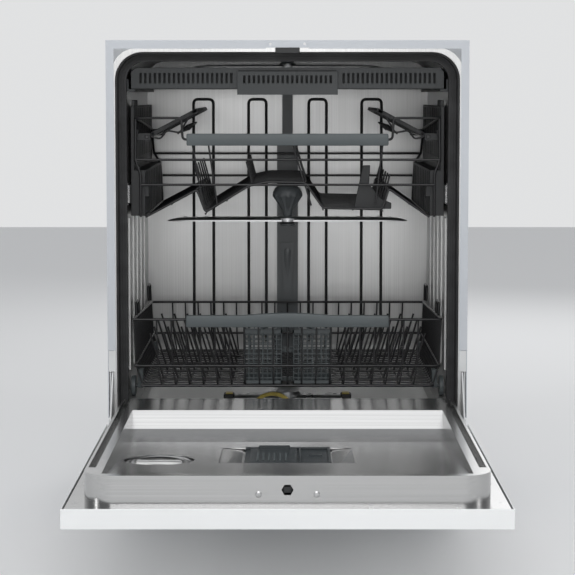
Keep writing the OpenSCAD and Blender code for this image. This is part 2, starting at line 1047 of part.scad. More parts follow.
// Two open baskets with a grip between them, clipped together from flat grids
module cutlery_basket() {
    outer = 75;
    inner = 9;
    low_y = 70;
    high_y = 150;
    top = 334;
    wall = 2;
    base = basket_z + wall + running_gap;
    side_low = low_y + wall + running_gap;
    side_high = high_y - wall - running_gap;
    color("slategray") {
        pair() {
            difference() {
                block([inner, low_y, basket_z], [outer, high_y, basket_z + wall]);
                for (x = [14 : 12 : 64], y = [74 : 12 : 140])
                    block([x, y, basket_z - 1], [x + 9, y + 9, basket_z + 3]);
            }
            difference() {
                union() {
                    block([inner, low_y, base], [outer, low_y + wall, top]);
                    block([inner, high_y - wall, base], [outer, high_y, top]);
                }
                for (x = [12 : 9.6 : 68], z = [250 : 12.4 : 324])
                    block([x, low_y - 1, z], [x + 7.6, high_y + 1, z + 10]);
            }
            difference() {
                block([outer - wall, side_low, base], [outer, side_high, top]);
                for (y = [74 : 12.4 : 140], z = [250 : 12.4 : 324])
                    block([outer - wall - 1, y, z], [outer + 1, y + 10, z + 10]);
            }
            block([inner, side_low, base], [inner + wall, side_high, top]);
        }
        block([-inner - 1, 106, 250], [inner + 1, 114, 300]);
        block([-3, 106, 299], [3, 114, 338]);
    }
}

module wheel_pair(y) {
    color("dimgray")
        pair()
            translate([260, y, axle_z])
                rotate([0, 90, 0])
                    difference() {
                        cylinder(r = wheel_r, h = 7);
                        translate([0, 0, -1])
                            cylinder(r = axle_r + running_gap, h = 9);
                        translate([0, 0, 5])
                            difference() {
                                cylinder(r = wheel_r - 3, h = 3);
                                cylinder(r = 6, h = 3);
                            }
                    }
}

module front_wheels() {
    wheel_pair(wheel_y[0]);
}

module rear_wheels() {
    wheel_pair(wheel_y[1]);
}

// ---------------------------------------------------------------- build

place() tub();
place() door_seal();
place() side_panel_left();
place() side_panel_right();
place() top_frame();
place() rear_panel();
place() base_tray();
place() kick_plate();
place() levelling_feet();
place() latch_strike();
place() hinge_brackets();
place() rack_rails();
place() tray_rails();
place() feed_duct();
place() sump();
place() filter_plate();
place() coarse_filter();
place() circulation_pump();
place() drain_pump();
place() inlet_valve();
place() drain_outlet();
place() mains_inlet();
place() door_springs();
place() door_liner();
place() door_panel();
place() control_fascia();
place() hinge_arms();
place() dispenser_body();
place() salt_container();
place() latch_body();
place() liner_screws();
place() detergent_lid();
place() rinse_cap();
place() salt_cap();
place() power_button();
place() program_button_1();
place() program_button_2();
place() program_button_3();
place() latch_pawl();
place() upper_rack();
place() upper_handle();
place() adjusters();
place() arm_feed();
place() upper_spray_arm();
place() cup_shelf_left();
place() cup_shelf_right();
place() rail_slides();
place() cutlery_tray();
place() top_spray_arm();
place() lower_rack_floor();
place() lower_rack_ends();
place() lower_rack_sides();
place() lower_rack_tines();
place() wheel_brackets();
place() lower_handle();
place() cutlery_basket();
place() lower_spray_arm();
place() front_wheels();
place() rear_wheels();
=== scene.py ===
"""Looks of the built-in dishwasher: materials, round wires, spray arms and soft edges.

Sizes are millimetres in the design's own layout: x across, y back from the cabinet's front and z up
from the floor. at() turns them into the row frame's metres.
"""
import json
import math

import bpy
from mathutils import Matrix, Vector


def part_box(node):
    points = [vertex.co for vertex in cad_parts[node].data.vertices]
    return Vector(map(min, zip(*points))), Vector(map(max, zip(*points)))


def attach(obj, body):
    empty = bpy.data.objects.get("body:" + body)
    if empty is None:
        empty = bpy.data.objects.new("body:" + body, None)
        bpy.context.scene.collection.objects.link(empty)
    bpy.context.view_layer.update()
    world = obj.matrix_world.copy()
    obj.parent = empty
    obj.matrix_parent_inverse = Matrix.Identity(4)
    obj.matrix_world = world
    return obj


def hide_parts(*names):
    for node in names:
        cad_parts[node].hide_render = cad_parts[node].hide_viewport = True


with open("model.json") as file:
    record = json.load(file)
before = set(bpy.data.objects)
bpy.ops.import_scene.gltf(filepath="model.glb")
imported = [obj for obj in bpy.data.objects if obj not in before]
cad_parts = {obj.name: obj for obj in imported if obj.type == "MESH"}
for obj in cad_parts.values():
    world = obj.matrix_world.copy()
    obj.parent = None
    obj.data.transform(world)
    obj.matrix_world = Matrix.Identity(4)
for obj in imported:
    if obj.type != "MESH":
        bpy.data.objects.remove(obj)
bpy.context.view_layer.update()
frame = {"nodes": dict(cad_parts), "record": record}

MM = 0.001
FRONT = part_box("tub")[0].y


def at(x, y, z):
    """A point of the design in the row frame."""
    return Vector((x * MM, FRONT + y * MM, z * MM))


def extent(node):
    """A node's box in design millimetres, as two corners."""
    low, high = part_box(node)
    shift = Vector((0, FRONT, 0))
    return (low - shift) / MM, (high - shift) / MM


# ---------------------------------------------------------------- camera, light and stage

SENSOR = 36
LENS = 112.82
TILT = math.radians(4.5)
CAMERA_Y = -2965
CAMERA_Z = 732
SHIFT = -0.0897


def make_camera():
    """A long lens in front of the open door, a little above the cabinet's middle."""
    data = bpy.data.cameras.new("camera")
    data.sensor_width = SENSOR
    data.lens = LENS
    data.shift_y = SHIFT
    data.clip_end = 50
    camera = bpy.data.objects.new("camera", data)
    camera.location = at(0, CAMERA_Y, CAMERA_Z)
    camera.rotation_euler = (math.pi / 2 - TILT, 0, 0)
    bpy.context.scene.collection.objects.link(camera)
    bpy.context.scene.camera = camera


def area_light(name, place, target, size, power):
    """A rectangular light; places and sizes are metres in the row frame."""
    data = bpy.data.lights.new(name, "AREA")
    data.shape = "RECTANGLE"
    data.size, data.size_y = size
    data.energy = power
    light = bpy.data.objects.new(name, data)
    light.location = place
    light.rotation_euler = (Vector(target) - Vector(place)).to_track_quat("-Z", "Y").to_euler()
    bpy.context.scene.collection.objects.link(light)


def make_light():
    """A studio with soft panels, whose room is dim at eye level and pale behind the object."""
    world = bpy.data.worlds.new("studio")
    world.use_nodes = True
    nodes, links = world.node_tree.nodes, world.node_tree.links
    # the room is dim at eye level and bright overhead, which gives the steel dark and light bands
    direction = nodes.new("ShaderNodeTexCoord")
    height = nodes.new("ShaderNodeSeparateXYZ")
    shades = nodes.new("ShaderNodeValToRGB")
    shades.color_ramp.elements[0].position = 0.42
    shades.color_ramp.elements[0].color = (0.10, 0.105, 0.11, 1)
    shades.color_ramp.elements[1].position = 0.95
    shades.color_ramp.elements[1].color = (0.95, 0.97, 1, 1)
    remap = nodes.new("ShaderNodeMapRange")
    remap.inputs["From Min"].default_value = -1
    links.new(direction.outputs["Generated"], height.inputs["Vector"])
    links.new(height.outputs["Z"], remap.inputs["Value"])
    links.new(remap.outputs["Result"], shades.inputs["Fac"])
    # behind the object the room is a pale wall
    backdrop = nodes.new("ShaderNodeMapRange")
    backdrop.inputs["From Min"].default_value = 0.25
    backdrop.inputs["From Max"].default_value = 0.8
    links.new(height.outputs["Y"], backdrop.inputs["Value"])
    mix = nodes.new("ShaderNodeMix")
    mix.data_type = "RGBA"
    mix.inputs["B"].default_value = (1.25, 1.26, 1.27, 1)
    links.new(backdrop.outputs["Result"], mix.inputs["Factor"])
    links.new(shades.outputs["Color"], mix.inputs["A"])
    links.new(mix.outputs["Result"], nodes["Background"].inputs["Color"])
    nodes["Background"].inputs["Strength"].default_value = 0.6
    bpy.context.scene.world = world
    bpy.context.scene.view_settings.view_transform = "Standard"
    area_light("front", (0, -3.3, 1.7), (0, 0.4, 0.5), (1.2, 1.0), 17)
    area_light("low_front", (0, -3.1, 0.7), (0, 0.5, 0.5), (1.5, 0.8), 7)
    area_light("top", (0, -2.0, 2.7), (0, -0.1, 0.2), (3.0, 1.6), 17)
    area_light("left", (-2.4, -1.4, 1.3), (0, -0.1, 0.3), (0.4, 1.6), 9)
    area_light("right", (2.4, -1.4, 1.3), (0, -0.1, 0.3), (0.4, 1.6), 8)
    area_light("behind", (0.8, 3, 1.8), (0, 0.4, 0.4), (2, 1.4), 16)


def make_floor():
    """A plain pale floor just under the feet."""
    bpy.ops.mesh.primitive_plane_add(size=14, location=(0, 0, -0.0005))
    floor = bpy.context.object
    floor.name = "floor"
    surface = bpy.data.materials.new("floor")
    surface.use_nodes = True
    shader = surface.node_tree.nodes["Principled BSDF"]
    shader.inputs["Base Color"].default_value = (0.86, 0.86, 0.86, 1)
    shader.inputs["Roughness"].default_value = 0.8
    floor.data.materials.append(surface)


# ---------------------------------------------------------------- materials

class Surface:
    """A Principled material with helpers that add procedural detail to it."""

    def __init__(self, name, colour, roughness, metallic=0.0, **sockets):
        self.material = bpy.data.materials.new(name)
        self.material.use_nodes = True
        self.nodes = self.material.node_tree.nodes
        self.links = self.material.node_tree.links
        self.shader = self.nodes["Principled BSDF"]
        self.colour = colour
        self.roughness = roughness
        self.shader.inputs["Base Color"].default_value = (*colour, 1)
        self.shader.inputs["Roughness"].default_value = roughness
        self.shader.inputs["Metallic"].default_value = metallic
        for socket, value in sockets.items():
            self.shader.inputs[socket.replace("_", " ")].default_value = value

    def coordinates(self, scale):
        source = self.nodes.new("ShaderNodeTexCoord")
        mapping = self.nodes.new("ShaderNodeMapping")
        mapping.inputs["Scale"].default_value = scale
        self.links.new(source.outputs["Object"], mapping.inputs["Vector"])
        return mapping.outputs["Vector"]

    def noise(self, scale, size=1.0, detail=3.0):
        node = self.nodes.new("ShaderNodeTexNoise")
        node.inputs["Scale"].default_value = size
        node.inputs["Detail"].default_value = detail
        self.links.new(self.coordinates(scale), node.inputs["Vector"])
        return node.outputs["Fac"]

    def spread(self, value, low, high):
        """Maps a noise, which lies mostly between 0.3 and 0.7, to a range."""
        node = self.nodes.new("ShaderNodeMapRange")
        node.inputs["From Min"].default_value = 0.3
        node.inputs["From Max"].default_value = 0.7
        node.inputs["To Min"].default_value = low
        node.inputs["To Max"].default_value = high
        self.links.new(value, node.inputs["Value"])
        return node.outputs["Result"]

    def tint(self, value, darker, lighter):
        """Colour that runs between two shades of the base colour."""
        mix = self.nodes.new("ShaderNodeMix")
        mix.data_type = "RGBA"
        mix.inputs["A"].default_value = (*(min(1, c * darker) for c in self.colour), 1)
        mix.inputs["B"].default_value = (*(min(1, c * lighter) for c in self.colour), 1)
        self.links.new(self.spread(value, 0, 1), mix.inputs["Factor"])
        self.links.new(mix.outputs["Result"], self.shader.inputs["Base Color"])
        return self

    def rough(self, value, amount):
        result = self.spread(value, max(0.02, self.roughness - amount), self.roughness + amount)
        self.links.new(result, self.shader.inputs["Roughness"])
        return self

    def bump(self, value, depth_mm):
        node = self.nodes.new("ShaderNodeBump")
        node.inputs["Strength"].default_value = 0.6
        node.inputs["Distance"].default_value = depth_mm * MM
        self.links.new(value, node.inputs["Height"])
        earlier = self.shader.inputs["Normal"].links
        if earlier:
            self.links.new(earlier[0].from_socket, node.inputs["Normal"])
        self.links.new(node.outputs["Normal"], self.shader.inputs["Normal"])
        return self


def brushed(name, colour, roughness, grain, anisotropic=0.5):
    """Steel with a brushed grain; grain is the noise's stretch along x, y and z."""
    surface = Surface(name, colour, roughness, 1.0, Anisotropic=anisotropic)
    lines = surface.noise(grain, 1, 4)
    clouds = surface.noise((3, 3, 3), 1, 2)
    surface.rough(clouds, 0.05)
    surface.tint(lines, 0.9, 1.06)
    return surface.bump(lines, 0.008).material


def plastic(name, colour, roughness, grain_mm=0.03):
    """Moulded plastic with a fine spark-eroded grain and faint unevenness."""
    surface = Surface(name, colour, roughness)
    grain = surface.noise((900, 900, 900), 1, 2)
    clouds = surface.noise((9, 9, 9), 1, 3)
    surface.rough(clouds, 0.06)
    surface.tint(clouds, 0.85, 1.15)
    return surface.bump(grain, grain_mm).material


def coated_wire(name):
    """Black nylon coating with a faint peel."""
    surface = Surface(name, (0.006, 0.006, 0.007), 0.38, Coat_Weight=0.2, Coat_Roughness=0.3)
    peel = surface.noise((260, 260, 260), 1, 2)
    surface.rough(peel, 0.06)
    return surface.bump(peel, 0.04).material


def enamel(name, colour, roughness=0.28):
    """Stove enamel or powder coat with a faint peel."""
    surface = Surface(name, colour, roughness, Coat_Weight=0.3, Coat_Roughness=0.12)
    peel = surface.noise((190, 190, 190), 1, 2)
    clouds = surface.noise((4, 4, 4), 1, 2)
    surface.tint(clouds, 0.975, 1.02)
    return surface.bump(peel, 0.02).material


def zinc(name, colour):
    """Galvanised sheet with the crystals of its coating."""
    surface = Surface(name, colour, 0.42, 0.9)
    crystals = surface.nodes.new("ShaderNodeTexVoronoi")
    crystals.inputs["Scale"].default_value = 1
    surface.links.new(surface.coordinates((110, 110, 110)), crystals.inputs["Vector"])
    to_value = surface.nodes.new("ShaderNodeRGBToBW")
    surface.links.new(crystals.outputs["Color"], to_value.inputs["Color"])
    surface.tint(to_value.outputs["Val"], 0.95, 1.03)
    surface.rough(to_value.outputs["Val"], 0.03)
    return surface.material


def rubber(name):
    """Dull black rubber with a streaky film."""
    surface = Surface(name, (0.024, 0.024, 0.025), 0.62)
    grain = surface.noise((500, 500, 500), 1, 3)
    film = surface.noise((16, 16, 40), 1, 3)
    surface.tint(film, 0.7, 1.6)
    return surface.bump(grain, 0.05).material


def chrome(name):
    """Satin stamped steel of the spray arms."""
    surface = Surface(name, (0.62, 0.625, 0.63), 0.32, 1.0)
    film = surface.noise((40, 40, 40), 1, 3)
    surface.rough(film, 0.05)
    surface.tint(film, 0.94, 1.04)
    return surface.material


ACROSS = (2, 700, 700)
UPRIGHT = (700, 700, 2)

MATERIALS = {
    "cabinet_paint": enamel("cabinet_paint", (0.56, 0.585, 0.62), 0.4),
    "galvanised": zinc("galvanised", (0.58, 0.60, 0.62)),
    "tub_steel": brushed("tub_steel", (0.62, 0.62, 0.615), 0.34, UPRIGHT, 0.35),
    "liner_steel": brushed("liner_steel", (0.50, 0.50, 0.498), 0.22, ACROSS),
    "seal_rubber": rubber("seal_rubber"),
    "door_white": enamel("door_white", (0.86, 0.87, 0.87), 0.25),
    "bracket_white": plastic("bracket_white", (0.72, 0.73, 0.73), 0.42),
    "arm_chrome": chrome("arm_chrome"),
    "handle_grey": plastic("handle_grey", (0.078, 0.092, 0.096), 0.42),
    "rack_black": coated_wire("rack_black"),
    "panel_black": plastic("panel_black", (0.016, 0.017, 0.018), 0.48),
    "tray_grey": plastic("tray_grey", (0.028, 0.032, 0.034), 0.42),
    "duct_grey": plastic("duct_grey", (0.115, 0.125, 0.13), 0.3),
    "base_grey": plastic("base_grey", (0.045, 0.047, 0.050), 0.5),
    "filter_yellow": plastic("filter_yellow", (0.62, 0.50, 0.12), 0.36),
    "dispenser_dark": plastic("dispenser_dark", (0.036, 0.043, 0.047), 0.33),
    "salt_grey": plastic("salt_grey", (0.30, 0.31, 0.32), 0.5),
    "rail_steel": brushed("rail_steel", (0.74, 0.74, 0.74), 0.24, (700, 2, 700)),
    "valve_white": plastic("valve_white", (0.75, 0.75, 0.74), 0.45),
    "fastener_steel": brushed("fastener_steel", (0.56, 0.56, 0.56), 0.3, (90, 90, 90), 0.2),
    "button_silver": plastic("button_silver", (0.42, 0.43, 0.44), 0.3),
}

SLOT_OF = {part["node"]: part["material_slot"] for part in frame["record"]["subparts"]}

# Width of the rounded edges of each CAD node that shows, in millimetres
SOFT_EDGES = {
    "door_liner": 0.6, "door_panel": 0.5, "cutlery_tray": 0.5, "adjusters": 1.0,
    "dispenser_body": 1.0, "detergent_lid": 1.2, "rinse_cap": 1.0,
    "salt_cap": 1.2, "control_fascia": 0.8, "feed_duct": 2.0, "latch_strike": 0.8,
    "hinge_brackets": 0.5, "hinge_arms": 0.4, "front_wheels": 0.8,
    "rear_wheels": 0.8, "coarse_filter": 1.0, "latch_body": 0.6, "base_tray": 2.0,
    "levelling_feet": 0.8, "circulation_pump": 2.0, "drain_pump": 2.0, "inlet_valve": 1.0,
    "drain_outlet": 1.0, "mains_inlet": 1.0, "door_seal": 0.2, "tray_rails": 0.5,
    "rack_rails": 0.3, "liner_screws": 0.3, "power_button": 0.5, "program_button_1": 0.5,
    "program_button_2": 0.5, "program_button_3": 0.5, "arm_feed": 0.8,
}


# Sheet parts whose large flat faces are joined into one before the edges are rounded
FLAT_FACED = ("door_liner",)


def shade(piece, degrees=32):
    """Smooth shading across gentle bends, and sharp edges elsewhere."""
    piece.data.set_sharp_from_angle(angle=math.radians(degrees))
    piece.data.polygons.foreach_set("use_smooth", [True] * len(piece.data.polygons))


def finish_node(node, piece):
    """Gives a CAD node its material and, where it shows, softly rounded edges."""
    piece.data.materials.clear()
    piece.data.materials.append(MATERIALS[SLOT_OF[node]])
    width = SOFT_EDGES.get(node)
    if width:
        weld = piece.modifiers.new("weld", "WELD")
        weld.merge_threshold = 0.00001
        if node in FLAT_FACED:
            flat = piece.modifiers.new("flat_faces", "DECIMATE")
            flat.decimate_type = "DISSOLVE"
            flat.angle_limit = math.radians(0.5)
        bevel = piece.modifiers.new("soft_edges", "BEVEL")
        bevel.width = width * MM
        bevel.segments = 2
        bevel.limit_method = "ANGLE"
        bevel.angle_limit = math.radians(40)
        bevel.use_clamp_overlap = True
        face_normals = piece.modifiers.new("face_normals", "WEIGHTED_NORMAL")
        face_normals.keep_sharp = True


def link(piece, body, slot, *replaced):
    """Gives a new piece its material, body and record slot, and hides the nodes it stands for."""
    piece.data.materials.clear()
    piece.data.materials.append(MATERIALS[slot])
    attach(piece, body)
    if replaced:
        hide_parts(*replaced)
    return piece


# ---------------------------------------------------------------- wires and meshes

def bent(points, radius):
    """The polyline with each corner rounded by a short curve."""
    path = [Vector(points[0])]
    for before, corner, after in zip(points, points[1:], points[2:]):
        before, corner, after = Vector(before), Vector(corner), Vector(after)
        reach = min(radius, (corner - before).length / 2.1, (after - corner).length / 2.1)
        start = corner + (before - corner).normalized() * reach
        end = corner + (after - corner).normalized() * reach
        for t in (0, 0.25, 0.5, 0.75, 1):
            path.append(start * (1 - t) ** 2 + corner * 2 * t * (1 - t) + end * t ** 2)
    path.append(Vector(points[-1]))
    return path


def wires(name, runs, thickness, bend=6, sides=2):
    """One mesh of round wires, each run a list of points in design millimetres."""
    data = bpy.data.curves.new(name, "CURVE")
    data.dimensions = "3D"
    data.bevel_depth = thickness / 2 * MM
    data.bevel_resolution = sides
    data.use_fill_caps = True
    for run in runs:
        path = bent(run, bend)
        spline = data.splines.new("POLY")
        spline.points.add(len(path) - 1)
        for point, place in zip(spline.points, path):
            point.co = (*at(*place), 1)
    curve = bpy.data.objects.new(name + "_curve", data)
    bpy.context.scene.collection.objects.link(curve)
    bpy.context.view_layer.update()
    mesh = bpy.data.meshes.new_from_object(curve.evaluated_get(bpy.context.evaluated_depsgraph_get()))
    bpy.data.objects.remove(curve)
    piece = bpy.data.objects.new(name, mesh)
    bpy.context.scene.collection.objects.link(piece)
    shade(piece, 50)
    return piece


def mesh_piece(name, vertices, faces, smooth_degrees=32):
    """A mesh from points in design millimetres."""
    mesh = bpy.data.meshes.new(name)
    mesh.from_pydata([at(*v) for v in vertices], [], faces)
    mesh.validate()
    piece = bpy.data.objects.new(name, mesh)
    bpy.context.scene.collection.objects.link(piece)
    shade(piece, smooth_degrees)
    return piece


def loft(rings):
    """Vertices and faces of a closed body through rings of equal count."""
    count = len(rings[0])
    vertices = [v for ring in rings for v in ring]
    faces = [tuple(reversed(range(count)))]
    for r in range(len(rings) - 1):
        for i in range(count):
            j = (i + 1) % count
            faces.append((r * count + i, r * count + j, (r + 1) * count + j, (r + 1) * count + i))
    faces.append(tuple(range((len(rings) - 1) * count, len(rings) * count)))
    return vertices, faces


def turned(profile, centre, axis="z", sides=40):
    """Rings of a turned body; profile is (radius, height) pairs along the axis."""
    rings = []
    for radius, height in profile:
        ring = []
        for i in range(sides):
            angle = 2 * math.pi * i / sides
            c, s = radius * math.cos(angle), radius * math.sin(angle)
            if axis == "z":
                ring.append((centre[0] + c, centre[1] + s, centre[2] + height))
            else:
                ring.append((centre[0] + c, centre[1] - height, centre[2] + s))
        rings.append(ring)
    return rings


def merged(name, bodies, smooth_degrees=32):
    """One piece from several (vertices, faces) bodies."""
    vertices, faces = [], []
    for body_vertices, body_faces in bodies:
        base = len(vertices)
        vertices += body_vertices
        faces += [tuple(base + i for i in face) for face in body_faces]
    return mesh_piece(name, vertices, faces, smooth_degrees)


def brick(low, high):
    """A box between two corners."""
    (x0, y0, z0), (x1, y1, z1) = low, high
    ring = [(x0, y0), (x1, y0), (x1, y1), (x0, y1)]
    return loft([[(x, y, z0) for x, y in ring], [(x, y, z1) for x, y in ring]])


def side_brick(side, across, along, up):
    """A box on one side of the middle; across, along and up are its ranges for the right side."""
    low, high = sorted((side * across[0], side * across[1]))
    return brick((low, along[0], up[0]), (high, along[1], up[1]))


def soften(piece, width, segments=3):
    """Rounds the sharp edges of a piece, by a width in millimetres."""
    bevel = piece.modifiers.new("soft_edges", "BEVEL")
    bevel.width = width * MM
    bevel.segments = segments
    bevel.limit_method = "ANGLE"
    bevel.angle_limit = math.radians(40)
    return piece


# ---------------------------------------------------------------- upper rack

RACK_FRONT, RACK_BACK = 62, 482
UPPER_FLOOR_X = 239
UPPER_FRONT_X = 247
UPPER_RIM_X = 255
UPPER_ROWS = 12

# Height of the rack's floor across its width, as (x, z)
UPPER_PROFILE = [
    (-247, 526), (-152, 572), (-138, 534), (-66, 578), (-34, 585),
    (30, 584), (60, 541), (160, 539), (170, 574), (247, 526),
]


def both_sides(run):
    """A run of wire and its mirror image."""
    return [run, [(-x, y, z) for x, y, z in run]]


def upper_rack():
    """Wire floor, frames and tines of the upper rack."""
    front, back = RACK_FRONT, RACK_BACK
    thick = []
    thin = []
    step = (back - front) / UPPER_ROWS
    for k in range(UPPER_ROWS + 1):
        target = thick if k in (0, UPPER_ROWS) else thin
        target.append([
            (max(-UPPER_FLOOR_X, min(UPPER_FLOOR_X, x)), front + k * step, z) for x, z in UPPER_PROFILE
        ])
    # cross bars of the front and back frames
    for half, y, z in (
        (UPPER_FRONT_X, front, 580), (UPPER_RIM_X + 1, front + 2, 622),
        (UPPER_RIM_X - 1, back, 619), (UPPER_FLOOR_X, back, 577),
    ):
        thick.append([(-half, y, z), (half, y, z)])
    rim = [
        (UPPER_RIM_X, back, 619), (UPPER_RIM_X, back - 60, 668), (UPPER_RIM_X, front + 2, 692),
        (178, front, 692), (176, front, 656), (150, front, 656),
    ]
    corner = [
        (UPPER_RIM_X, front + 2, 690), (UPPER_RIM_X + 1, front + 2, 622),
        (UPPER_FRONT_X, front + 1, 598), (UPPER_FRONT_X, front, 526),
    ]
    rear = [(UPPER_RIM_X - 1, back, 619), (243, back, 600), (UPPER_FLOOR_X, back, 526)]
    for run in (rim, corner, rear):
        thick += both_sides(run)
    thick += both_sides([(UPPER_FLOOR_X - 1, front, 528), (UPPER_FLOOR_X - 1, back, 528)])
    # wires that run front to back under the profile's bends
    for x, z in UPPER_PROFILE[1:-1] + [(-195, 550), (-102, 556), (0, 586), (110, 541), (205, 551)]:
        thin.append([(x, front, z - 3), (x, back, z - 3)])
    # uprights from the handle down to the floor of the rack
    for top, low in ((-160, -142), (-133, -118), (8, 40), (160, 148)):
        thin.append([(top, front, 650), (low, front, 545)])
    # tines in rows
    for k in range(6):
        y = 96 + k * 68
        thin.append([(-138, y, 534), (-158, y, 612)])
        thin.append([(-60, y, 580), (-70, y, 618)])
        thin.append([(32, y, 584), (16, y, 636)])
        thin.append([(160, y, 541), (174, y, 596)])
    piece = wires("upper_rack_frame", thick, 4.2)
    link(piece, "upper_basket", "rack_black", "upper_rack")
    link(wires("upper_rack_wires", thin, 3.0), "upper_basket", "rack_black")


def flip_lever():
    """Dark folding tine holder at the right of the upper rack."""
    outline = [
        (128, 612), (140, 612), (138, 580), (158, 556), (176, 548), (176, 538), (112, 538), (118, 566),
    ]
    rings = [[(x, y, z) for x, z in outline] for y in (84, 90)]
    piece = soften(mesh_piece("upper_tine_holder", *loft(rings)), 1.2)
    link(piece, "upper_basket", "panel_black")


def cup_shelf(side, name):
    """A slim blade on the CAD shelf's plane, with slots and a wavy wire under its edge."""
    tilt = math.radians(28)
    hinge = (238, 660)

    def lifted(along, y, up=0.0):
        x = hinge[0] - along * math.cos(tilt) + up * math.sin(tilt)
        z = hinge[1] + along * math.sin(tilt) + up * math.cos(tilt)
        return (side * x, y, z)

    def slab(a0, a1, y0, y1, thickness):
        ring = [(a0, y0), (a1, y0), (a1, y1), (a0, y1)]
        if side > 0:
            ring.reverse()
        return loft([[lifted(a, y, h) for a, y in ring] for h in (-thickness / 2, thickness / 2)])

    slabs = [slab(8, 96, y, y + 9, 7) for y in (94, 209, 324, 439)]
    slabs += [slab(86, 97, 94, 448, 6), slab(6, 14, 94, 448, 5)]
    slabs += [slab(a, a + 3, 94, 448, 4) for a in range(22, 84, 10)]
    blade = merged(name + "_blade", slabs)
    link(soften(blade, 0.8, 2), name, "panel_black", name)
    wave = []
    for k in range(23):
        wave.append(lifted(70 if k % 2 else 48, 98 + k * 15.5, -14 if k % 2 else -20))
    rod = [lifted(0, 86), lifted(0, 456)]
    hook_front = [lifted(along, 96, up) for along, up in ((2, 0), (18, -14), (34, -6), (52, -20), (80, -3))]
    link(wires(name + "_wires", [wave, hook_front], 3.2, 5), name, "rack_black")
    link(wires(name + "_rod", [rod], 5.8, 1), name, "rack_black")


def adjuster_ribs(side, name):
    """Upright ribs, teeth and a release lever on the rack's side frame."""
    bodies = []
    for k in range(10):
        y = 84 + k * 40
        bodies.append(side_brick(side, (257.2, 258.4), (y, y + 3), (624, 708)))
        bodies.append(side_brick(side, (239.2, 240.4), (y, y + 3), (531, 600)))
    bodies.append(side_brick(side, (252, 258.4), (74, 110), (664, 672)))
    bodies.append(side_brick(side, (234, 240.4), (72.5, 104), (560, 580)))
    link(soften(merged(name + "_ribs", bodies), 0.4, 2), "upper_basket", "panel_black")


ARM_Y = 276


def feed_cone():
    """Fluted cone, dome and collar of the upper spray arm's bearing."""
    centre = (0, ARM_Y, 0)
    duct_face = 502
    sides = 48
    rings = []
    for radius, z, flute in (
        (7, 512, 0), (9, 516, 0), (10, 524, 0.2), (13, 530, 0.8), (20, 541, 1.4), (25.5, 549, 1.4),
        (26.5, 553, 0.3), (26, 557, 0), (22, 564, 0), (14, 569, 0), (5, 571.5, 0),
    ):
        ring = []
        for i in range(sides):
            angle = 2 * math.pi * i / sides
            r = radius + (flute if i % 4 < 2 else -flute)
            ring.append((r * math.cos(angle), centre[1] + r * math.sin(angle), z))
        rings.append(ring)
    cone = loft(rings)
    pipe_profile = [(8.5, 0), (9, 1), (9, 225), (10.5, 226), (10.5, 234)]
    pipe = loft(turned(pipe_profile, (0, duct_face, 562), "y", 28))
    collar = loft(turned([(5, 495), (12, 495.5), (14, 497), (14, 499), (12, 500.4), (5, 501)], centre))
    clip_front = brick((-3, 262, 566), (3, 290, 582))
    piece = merged("feed_bearing", [cone, pipe, collar, clip_front])
    link(piece, "upper_basket", "duct_grey", "arm_feed")


def bar_handle(name, node, body, bow):
    """A bar with rounded ends and edges; bow lifts the middle of its upper edge."""
    low, high = extent(node)
    top = high.z - bow
    stations = 41
    edge = 1.4
    end_round = 2
    rings = []
    ends = [0, 0.6, 1.2, end_round]
    length = high.x - low.x
    shares = [e / length for e in ends] + [k / stations for k in range(1, stations)]
    shares += [1 - e / length for e in reversed(ends)]
    for t in shares:
        x = low.x + length * t
        near_middle = max(0.0, 1 - abs(2 * t - 1) / 0.45)
        lift = bow * math.sin(near_middle * math.pi / 2)
        end = min(t, 1 - t) * length
        inset = 0.0
        if end <= end_round:
            inset = end_round - math.sqrt(max(0.0, end_round ** 2 - (end_round - end) ** 2))
        y0, y1 = low.y + inset * 0.3, high.y - 0.6
        z0, z1 = low.z + inset, top + lift - inset
        cut = edge * 0.3
        rings.append([
            (x, y0 + edge, z0), (x, y0 + cut, z0 + cut), (x, y0, z0 + edge), (x, y0, z1 - edge),
            (x, y0 + cut, z1 - cut), (x, y0 + edge, z1), (x, y1 - 1, z1), (x, y1, z1 - 1),
            (x, y1, z0 + 1), (x, y1 - 1, z0),
        ])
    rings = [list(reversed(ring)) for ring in rings]
    piece = mesh_piece(name, *loft(rings), smooth_degrees=28)
    link(piece, body, "handle_grey", node)


# ---------------------------------------------------------------- spray arms

